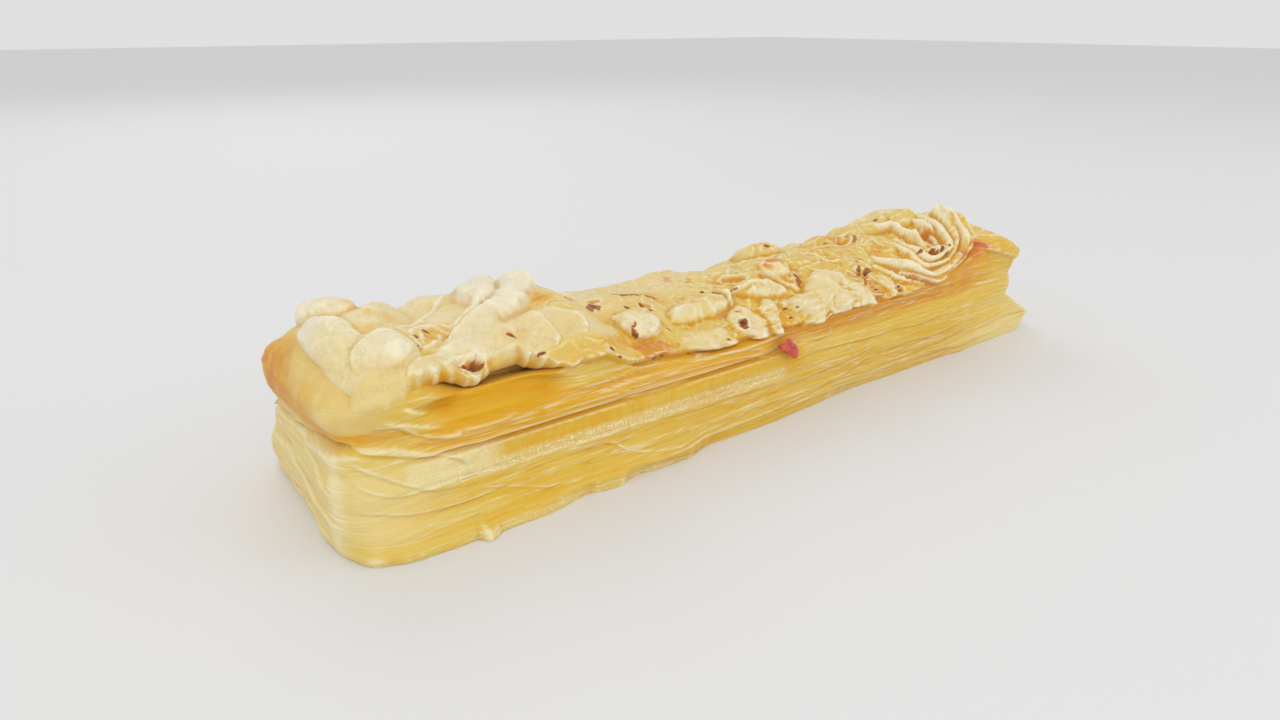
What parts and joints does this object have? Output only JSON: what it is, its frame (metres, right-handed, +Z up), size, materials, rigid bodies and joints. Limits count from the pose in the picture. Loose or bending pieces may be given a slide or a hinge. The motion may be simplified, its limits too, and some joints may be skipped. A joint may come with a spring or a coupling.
{
  "type": "cheese straw",
  "caption": "Long bar of baked puff pastry with flaky sides and a lumpy topping of melted baked cheese, lying on its flat base.",
  "frame": {"origin": "on the surface it lies on, under the middle of the whole bar", "axes": "+X along the bar to the end with the swirl of cheese, -Y out of the long side with the ledge, +Z up"},
  "size_m": [0.2042, 0.0564, 0.0366],
  "materials": {
    "pastry": "baked flaky pastry, dry with a slight butter sheen",
    "cheese": "melted baked cheese, soft sheen",
    "pepper": "roasted, moist"
  },
  "bodies": {
    "root": {"pastry_bar": "pastry", "cheese_topping": "cheese", "red_pepper_piece": "pepper"}
  },
  "joints": []
}
